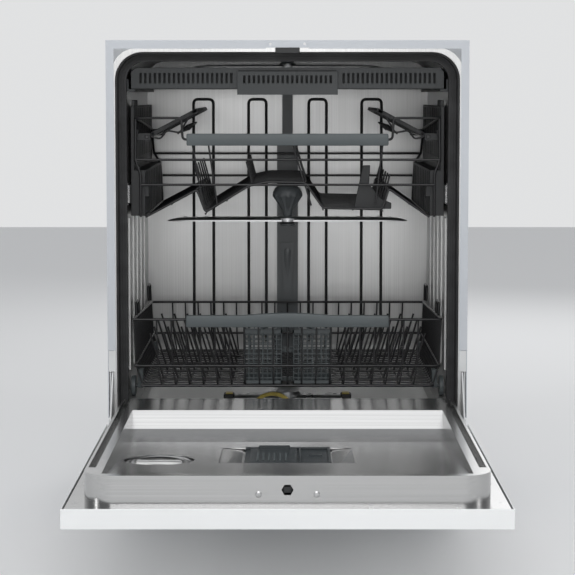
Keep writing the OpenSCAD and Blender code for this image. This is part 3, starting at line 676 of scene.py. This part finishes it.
def spray_arm(name, node, body, reach, width, height, nozzles, hub, arm_slot="arm_chrome"):
    """A tapering pressed arm with folded edges, raised jets and a turned hub."""
    low, high = extent(node)
    centre_y = (low.y + high.y) / 2
    z = hub["z"]
    stations = 49
    rings = []
    for k in range(stations):
        t = -1 + 2 * k / (stations - 1)
        taper = (1 - abs(t) ** 3.2) ** 0.5 if abs(t) < 0.999 else 0.05
        half = max(1.2, width / 2 * (0.42 + 0.58 * taper) * min(1.0, 0.12 + taper * 1.6))
        crown = max(1.0, height * (0.55 + 0.45 * taper) * min(1.0, 0.2 + taper * 1.5))
        x = t * reach
        base = z - height / 2
        rings.append([
            (x, centre_y - half, base), (x, centre_y - half, base + crown * 0.35),
            (x, centre_y - half * 0.78, base + crown * 0.8), (x, centre_y - half * 0.35, base + crown),
            (x, centre_y + half * 0.35, base + crown), (x, centre_y + half * 0.78, base + crown * 0.8),
            (x, centre_y + half, base + crown * 0.35), (x, centre_y + half, base),
        ])
    rings = [list(reversed(ring)) for ring in rings]
    bodies = [loft(rings)]
    for side in (-1, 1):
        for k in range(nozzles):
            x = side * reach * (0.24 + 0.7 * k / nozzles)
            y = centre_y + (3 if (k + (side > 0)) % 2 else -3)
            top = z + height / 2
            profile = [(3.4, -1.2), (3.4, 0.1), (2.6, 0.5), (1.0, 0.3)]
            bodies.append(loft(turned(profile, (x, y, top), "z", 16)))
    bodies.append(loft(turned(hub["profile"], (0, centre_y, z), "z", 40)))
    piece = merged(name, bodies, 35)
    link(piece, body, arm_slot, node)
    return centre_y


def arm_caps(centre_y, z):
    """Black and yellow end caps of the lower arm."""
    for side, label in ((-1, "left"), (1, "right")):
        black = soften(merged("lower_arm_cap_" + label, [side_brick(
            side, (96, 115.8), (centre_y - 13.5, centre_y + 13.5), (z - 4.4, z + 4.4))]), 2.5)
        link(black, "lower_spray_arm", "panel_black")
        yellow = soften(merged("lower_arm_jet_" + label, [side_brick(
            side, (99, 112), (centre_y - 9, centre_y + 9), (z + 4, z + 6.2))]), 1)
        link(yellow, "lower_spray_arm", "filter_yellow")


# ---------------------------------------------------------------- lower rack

LOWER_BACK = 484
# Half widths and heights of the rack's floor, its waist wire and its rim, which drops towards the back
FLOOR_X, FLOOR_Z = 247, 239
WAIST_X, WAIST_Z = 258, 273
RIM_X, RIM_FRONT_Z, RIM_BACK_Z = 261, 352, 333
RIM_DROP = 18
TINE_ROWS = (108, 202, 296, 390)
TINE_FOOT_Z = FLOOR_Z + 3.5
WHEEL_ROWS = (100, 440)
AXLE_Z = 233.5


def rim_height(y):
    """Height of the lower rack's rim, y back from the cabinet's front."""
    return RIM_FRONT_Z - RIM_DROP * (y - RACK_FRONT) / (LOWER_BACK - RACK_FRONT)


def hoop(half, front_z, back_z):
    """A closed wire round the lower rack."""
    front, back = RACK_FRONT, LOWER_BACK
    return [(-half, front, front_z), (half, front, front_z), (half, back, back_z), (-half, back, back_z),
            (-half, front, front_z)]


def lower_rack():
    """Wire basket, plate tines and wheel carriers of the lower rack."""
    front, back = RACK_FRONT, LOWER_BACK
    thick = [
        hoop(FLOOR_X, FLOOR_Z, FLOOR_Z), hoop(WAIST_X, WAIST_Z, WAIST_Z),
        hoop(RIM_X, RIM_FRONT_Z, RIM_BACK_Z),
    ]
    thin = []
    tines = []
    for k in range(19):
        x = -213 + k * 426 / 18
        thin.append([
            (x * 1.04, front, RIM_FRONT_Z), (x * 1.03, front, WAIST_Z), (x, front, FLOOR_Z),
            (x, back, FLOOR_Z), (x * 1.03, back, WAIST_Z), (x * 1.04, back, RIM_BACK_Z),
        ])
    for k in range(18):
        y = front + 14 + k * (back - front - 28) / 17
        thin.append([
            (-RIM_X, y, rim_height(y)), (-WAIST_X, y, WAIST_Z), (-FLOOR_X, y, FLOOR_Z),
            (FLOOR_X, y, FLOOR_Z), (WAIST_X, y, WAIST_Z), (RIM_X, y, rim_height(y)),
        ])
    # side loops that hold large plates
    for y in (130, 400):
        thick += both_sides([
            (RIM_X, y, 345), (RIM_X + 1, y, 372), (RIM_X + 1, y + 50, 372), (RIM_X, y + 50, 340),
        ])
    # rows of plate tines, which lean outwards
    for y in TINE_ROWS:
        for x in range(92, 213, 24):
            tines += both_sides([(x, y, TINE_FOOT_Z), (x + 24, y, 322)])
        thick += both_sides([(88, y, TINE_FOOT_Z), (216, y, TINE_FOOT_Z)])
    link(wires("lower_rack_frame", thick, 4.4), "lower_basket", "rack_black",
         "lower_rack_floor", "lower_rack_ends", "lower_rack_sides", "lower_rack_tines", "wheel_brackets")
    link(wires("lower_rack_wires", thin, 2.9), "lower_basket", "rack_black")
    link(wires("lower_rack_plate_tines", tines, 3.6), "lower_basket", "rack_black")
    hubs = []
    axle_radius, axle_sides = 3, 20
    turns = [2 * math.pi * i / axle_sides for i in range(axle_sides)]
    for y in WHEEL_ROWS:
        for side in (-1, 1):
            hubs.append(side_brick(side, (247.4, 256), (y - 11, y + 11), (231, 262)))
            ends = sorted((side * 250, side * 267.5))
            hubs.append(loft([
                [(x, y + axle_radius * math.cos(a), AXLE_Z + axle_radius * math.sin(a)) for a in turns]
                for x in ends
            ]))
    link(soften(merged("wheel_carriers", hubs), 0.8, 2), "lower_basket", "handle_grey")


def cutlery_basket():
    """Two open grids with solid rims and a bowed grip between them."""
    low, high = extent("cutlery_basket")
    inset = 1.5
    rim = 2.2
    bars = []
    frames = []
    for x0, x1 in ((-75.0, -9.0), (9.0, 75.0)):
        y0, y1 = low.y + 1, high.y - 1
        top = high.z - 5
        base = low.z + 1.5
        left, right = x0 + inset, x1 - inset
        for k in range(9):
            x = left + (x1 - x0 - 2 * inset) * k / 8
            bars.append([(x, y0, top), (x, y0, base), (x, y1, base), (x, y1, top)])
        for k in range(10):
            y = y0 + (y1 - y0) * k / 9
            bars.append([(left, y, top), (left, y, base), (right, y, base), (right, y, top)])
        for k in range(1, 11):
            z = base + (top - base) * k / 11
            bars.append([(left, y0, z), (right, y0, z), (right, y1, z), (left, y1, z), (left, y0, z)])
        for z0, z1 in ((top - 5, top + 1), (base - 1, base + 4)):
            frames += [
                brick((x0, y0 - 1, z0), (x1, y0 + 1, z1)),
                brick((x0, y1 - 1, z0), (x1, y1 + 1, z1)),
                brick((x0, y0 - 1, z0), (x0 + rim, y1 + 1, z1)),
                brick((x1 - rim, y0 - 1, z0), (x1, y1 + 1, z1)),
            ]
    middle = (low.y + high.y) / 2
    frames += [brick((-10, middle - 5, low.z), (10, middle + 5, low.z + 6)),
               brick((-10, middle - 5, 290), (10, middle + 5, 298))]
    grip = [(x, middle, z) for x, z in ((-46, 330), (-30, 337), (0, 338), (30, 337), (46, 330))]
    link(wires("basket_grid", bars, 1.9, 2, 1), "lower_basket", "handle_grey", "cutlery_basket")
    link(merged("basket_rims", frames), "lower_basket", "handle_grey")
    link(wires("basket_grip", [grip], 6, 12), "lower_basket", "handle_grey")


# ---------------------------------------------------------------- cabinet details

def balance_springs():
    """Coil springs between the hinge arms and the sides of the cabinet."""
    runs = []
    start, end = Vector((0, 17, 257)), Vector((0, 380, 170))
    axis = (end - start).normalized()
    across = Vector((1, 0, 0))
    up = axis.cross(across)
    turns, per_turn, radius = 74, 10, 2.0
    spring_x = 290
    for side in (-1, 1):
        coil = []
        for i in range(turns * per_turn + 1):
            angle = 2 * math.pi * i / per_turn
            share = i / (turns * per_turn)
            centre = start.lerp(end, 0.08 + 0.84 * share) + Vector((side * spring_x, 0, 0))
            coil.append(centre + across * radius * math.cos(angle) + up * radius * math.sin(angle))
        aside = Vector((side * spring_x, 0, 0))
        runs.append([tuple(start + aside)] + [tuple(p) for p in coil] + [tuple(end + aside)])
        hook = ((287.4, 4, 262), (292.2, 4, 262), (292.2, 15, 258), (spring_x, 19, 256.5))
        runs.append([(side * x, y, z) for x, y, z in hook])
    link(wires("spring_coils", runs, 1.2, 0.2, 1), "cabinet", "fastener_steel", "door_springs")


def wall_bead_painted_shade():
    """Tall round-cornered beads of the back wall, drawn in black as painted shade: the real beads are
    pressed steel whose grooves read as dark lines.
    """
    face = 516.8
    runs = []
    for x0, x1 in ((-181, -143), (-75, -41), (41, 75), (143, 181)):
        runs.append([(x0, face, 252), (x0, face, 722), (x1, face, 722), (x1, face, 252)])
    # black material here is painted shade standing in for the shaded grooves of the steel beads
    link(wires("wall_bead_painted_shade", runs, 5.5, 9), "cabinet", "panel_black")


def duct_fin():
    """Glossy tapering spout on the front of the water duct."""
    face = 507
    rings = []
    for k in range(17):
        t = k / 16
        z = 447 - 137 * t
        half = 12.8 - 7 * t ** 0.8
        half *= min(1.0, 0.55 + t * 6)
        depth = 9 * (1 - 0.45 * t) * min(1.0, 0.35 + t * 6)
        ring = []
        for i in range(13):
            angle = math.pi * i / 12
            ring.append((half * math.cos(angle), face - depth * math.sin(angle) ** 0.7, z))
        rings.append(ring)
    rings.reverse()
    link(mesh_piece("duct_fin", *loft(rings), smooth_degrees=50), "cabinet", "duct_grey")


def seal_lips():
    """Fine ribs round the mouth's rubber, just behind the closed door's liner."""
    runs = []
    y = 38.8
    for inset in (7, 11):
        x, top, low, r = 283 - inset, 801 - inset, 240, 46 - inset
        run = [(-x, y, low)]
        for k in range(9):
            angle = math.pi - k * math.pi / 16
            run.append((-x + r + r * math.cos(angle), y, top - r + r * math.sin(angle)))
        for k in range(9):
            angle = math.pi / 2 - k * math.pi / 16
            run.append((x - r + r * math.cos(angle), y, top - r + r * math.sin(angle)))
        run.append((x, y, low))
        runs.append(run)
    link(wires("seal_lips", runs, 0.8, 1, 1), "cabinet", "seal_rubber")


FLANGE_Z = 189


def door_screws():
    """Small screws along the edges of the door's flange."""
    bodies = []
    for x, y in [(-225, -630), (-110, -630), (110, -630), (225, -630)] + [
            (side * 283.5, y) for side in (-1, 1) for y in (-600, -480, -330, -180)]:
        profile = [(3.6, -0.1), (3.5, 0.1), (1.5, 0.2), (1.2, -0.05)]
        bodies.append(loft(turned(profile, (x, y, FLANGE_Z), "z", 20)))
    link(merged("flange_screws", bodies), "door", "fastener_steel")


def screw_heads():
    """Low domed heads beside the latch opening, which clear the seal when the door is closed."""
    low, high = extent("liner_screws")
    radius = (high.z - low.z) / 2
    cad_head = 2.2
    face = low.y + cad_head
    profile = [(radius, -0.5), (radius, 0.5), (radius - 0.9, 1.0), (1.4, 1.1), (1.2, 0.4)]
    bodies = [
        loft(turned(profile, (x, face, low.z + radius), "y", 24)) for x in (low.x + radius, high.x - radius)
    ]
    link(merged("liner_screw_heads", bodies), "door", "fastener_steel", "liner_screws")


def dispenser_details():
    """Grips, latch and rails of the detergent dispenser."""
    low, high = extent("dispenser_body")
    z = 209
    frame_bars = [
        brick((low.x, low.y, z - 0.1), (high.x, low.y + 4, z + 3.6)),
        brick((low.x, high.y - 4, z - 0.1), (high.x, high.y, z + 3.6)),
        brick((high.x - 4, low.y, z - 0.1), (high.x, high.y, z + 3.6)),
        brick((17, low.y + 4, z - 0.1), (20, high.y - 4, z + 3.6)),
    ]
    link(soften(merged("dispenser_frame", frame_bars), 0.7, 2), "door", "dispenser_dark")
    corner = extent("detergent_lid")[0]
    ridges = [
        brick((corner.x + 10 + 8 * k, corner.y + 10, 212.2), (corner.x + 13 + 8 * k, corner.y + 62, 213.4))
        for k in range(6)
    ]
    link(soften(merged("lid_ridges", ridges), 0.4, 2), "detergent_lid", "handle_grey")


def dish_height(y):
    """Height of the liner's dished surface, which rises towards the door's far edge."""
    return 203 + 21 * (-250 - y) / 348


def pocket_walls():
    """Slanted bright walls on both sides of the dispenser's pocket."""
    bodies = []
    lid_bottom = extent("detergent_lid")[0].z
    for side, outer, inner in ((-1, 96.8, 66), (1, 94.8, 66)):
        rings = []
        for y in (-470, -322):
            # the lid slides over the left wall
            crest = dish_height(y) - 0.2 if side > 0 else min(dish_height(y) - 0.2, lid_bottom - 0.5)
            ring = [(side * outer, y, crest), (side * inner, y, 204.2),
                    (side * inner, y, 203.3), (side * outer, y, 203.3)]
            rings.append(ring if side < 0 else list(reversed(ring)))
        bodies.append(loft(rings))
    link(merged("pocket_walls", bodies), "door", "liner_steel")


def salt_cap():
    """Screw cap with a bright outer ring, a groove, a shallow disc and a grip bar."""
    low, high = extent("salt_cap")
    middle = (low + high) / 2
    centre = (middle.x, middle.y, 0)
    ring = loft(turned([
        (41, 206.2), (49.4, 206.2), (49.4, 209), (48.2, 211),
        (45.6, 211.6), (43.4, 210.6), (42.4, 208.4), (41, 208.2),
    ], centre, "z", 72))
    disc = loft(turned([
        (38, 187), (38, 206), (41, 206.4), (40.8, 210), (39.6, 211.8), (36, 212.4), (34.6, 211.6),
        (20, 211.8), (4, 211.9),
    ], centre, "z", 72))
    piece = merged("salt_cap_disc", [ring, disc])
    link(piece, "salt_cap", "liner_steel", "salt_cap")
    grip = [
        [(centre[0] - 33 * w, centre[1] - 5 * w, z), (centre[0] + 33 * w, centre[1] - 5 * w, z),
         (centre[0] + 33 * w, centre[1] + 5 * w, z), (centre[0] - 33 * w, centre[1] + 5 * w, z)]
        for w, z in ((1, 211.2), (0.96, 213.8), (0.9, 214.8))
    ]
    link(soften(mesh_piece("salt_cap_grip", *loft(grip)), 0.6, 2), "salt_cap", "liner_steel")


def control_icons():
    """Blank display window beside the buttons."""
    low, high = extent("control_fascia")
    window = brick((-70, -624, low.z - 0.4), (30, -606, low.z + 0.2))
    link(soften(merged("display_window", [window]), 0.2, 2), "door", "panel_black")


# ---------------------------------------------------------------- build

make_camera()
make_light()
make_floor()
for node_name, node_object in frame["nodes"].items():
    finish_node(node_name, node_object)
upper_rack()
flip_lever()
cup_shelf(-1, "cup_shelf_left")
cup_shelf(1, "cup_shelf_right")
adjuster_ribs(-1, "adjuster_left")
adjuster_ribs(1, "adjuster_right")
feed_cone()
bar_handle("upper_handle_bar", "upper_handle", "upper_basket", 0)
bar_handle("lower_handle_bar", "lower_handle", "lower_basket", 4)
spray_arm("upper_arm", "upper_spray_arm", "upper_spray_arm", 215.5, 34, 8, 8, {
    "z": 508, "profile": [(6, -6), (18, -6), (20, -4), (20, 2), (17, 4.6), (6, 5)]})
spray_arm("top_arm", "top_spray_arm", "top_spray_arm", 167.5, 24, 5, 6, {
    "z": 782, "profile": [(6, -3), (14, -3), (15, -1), (15, 4), (12, 5.4), (6, 5.5)]})
lower_centre = spray_arm("lower_arm", "lower_spray_arm", "lower_spray_arm", 108, 40, 8, 5, {
    "z": 186, "profile": [(14, -4.4), (23, -4.4), (24, -2), (24, 4), (20, 9), (8, 9.6)]})
arm_caps(lower_centre, 186)
lower_rack()
cutlery_basket()
balance_springs()
wall_bead_painted_shade()
duct_fin()
seal_lips()
door_screws()
screw_heads()
dispenser_details()
pocket_walls()
salt_cap()
control_icons()
